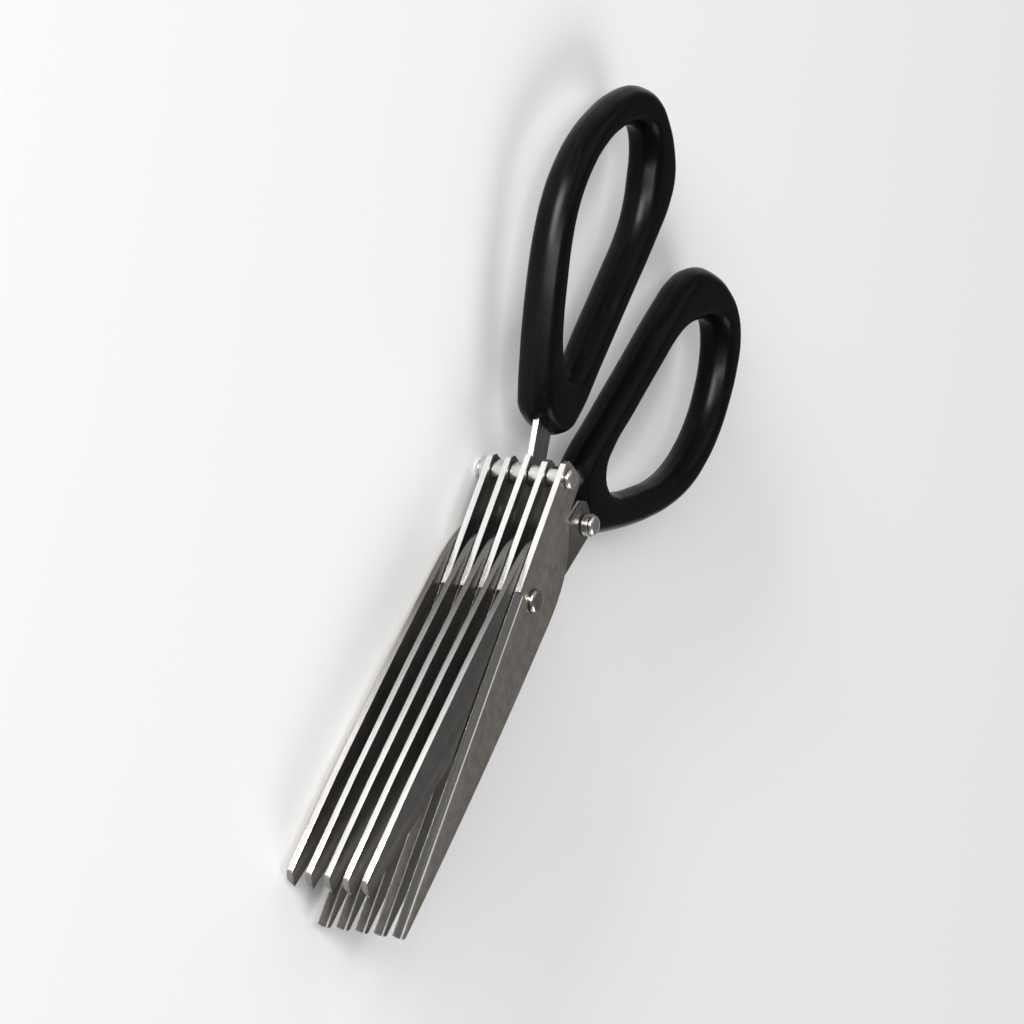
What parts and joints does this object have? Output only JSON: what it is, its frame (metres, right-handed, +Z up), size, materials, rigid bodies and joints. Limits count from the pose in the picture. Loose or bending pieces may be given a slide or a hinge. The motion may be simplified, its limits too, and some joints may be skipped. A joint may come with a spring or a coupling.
{
  "type": "herb scissors",
  "caption": "Herb scissors: interleaved shearing blades on one pivot, held apart by spacers, with looped handles moulded over the centre tangs.",
  "frame": {"origin": "on the pivot axis, in the plane of the cap nut's flat underside", "axes": "+X towards the tips along the thumb blades' cutting edges, +Y from the thumb side to the finger side, +Z up the stack of blades along the pivot"},
  "size_m": [0.1967, 0.0952, 0.0225],
  "materials": {
    "stainless_blade": "satin",
    "polished_steel": "polished",
    "black_plastic": "semi-gloss"
  },
  "bodies": {
    "thumb_half": {"thumb_handle": "black_plastic", "thumb_centre_blade_with_tang": "stainless_blade", "thumb_blade_1": "stainless_blade", "thumb_blade_2": "stainless_blade", "thumb_blade_4": "stainless_blade", "thumb_blade_5": "stainless_blade", "thumb_rear_rivet": "polished_steel", "thumb_rear_washer": "polished_steel", "thumb_rear_spacer_1": "polished_steel", "thumb_rear_spacer_2": "polished_steel", "thumb_rear_spacer_3": "polished_steel", "thumb_rear_spacer_4": "polished_steel", "pivot_bolt": "polished_steel", "pivot_cap_nut": "polished_steel", "pivot_washer_1": "polished_steel", "pivot_washer_2": "polished_steel", "pivot_washer_3": "polished_steel", "pivot_washer_4": "polished_steel"},
    "finger_half": {"finger_handle": "black_plastic", "finger_centre_blade_with_tang": "stainless_blade", "finger_blade_1": "stainless_blade", "finger_blade_2": "stainless_blade", "finger_blade_4": "stainless_blade", "finger_blade_5": "stainless_blade", "finger_rear_rivet": "polished_steel", "finger_rear_washer": "polished_steel", "finger_rear_spacer_1": "polished_steel", "finger_rear_spacer_2": "polished_steel", "finger_rear_spacer_3": "polished_steel", "finger_rear_spacer_4": "polished_steel"}
  },
  "joints": [
    {"name": "pivot", "type": "hinge", "parent": "thumb_half", "child": "finger_half", "pos_m": [0, 0, 0], "axis": [0, 0, -1], "range_deg": [-10, 30]}
  ]
}
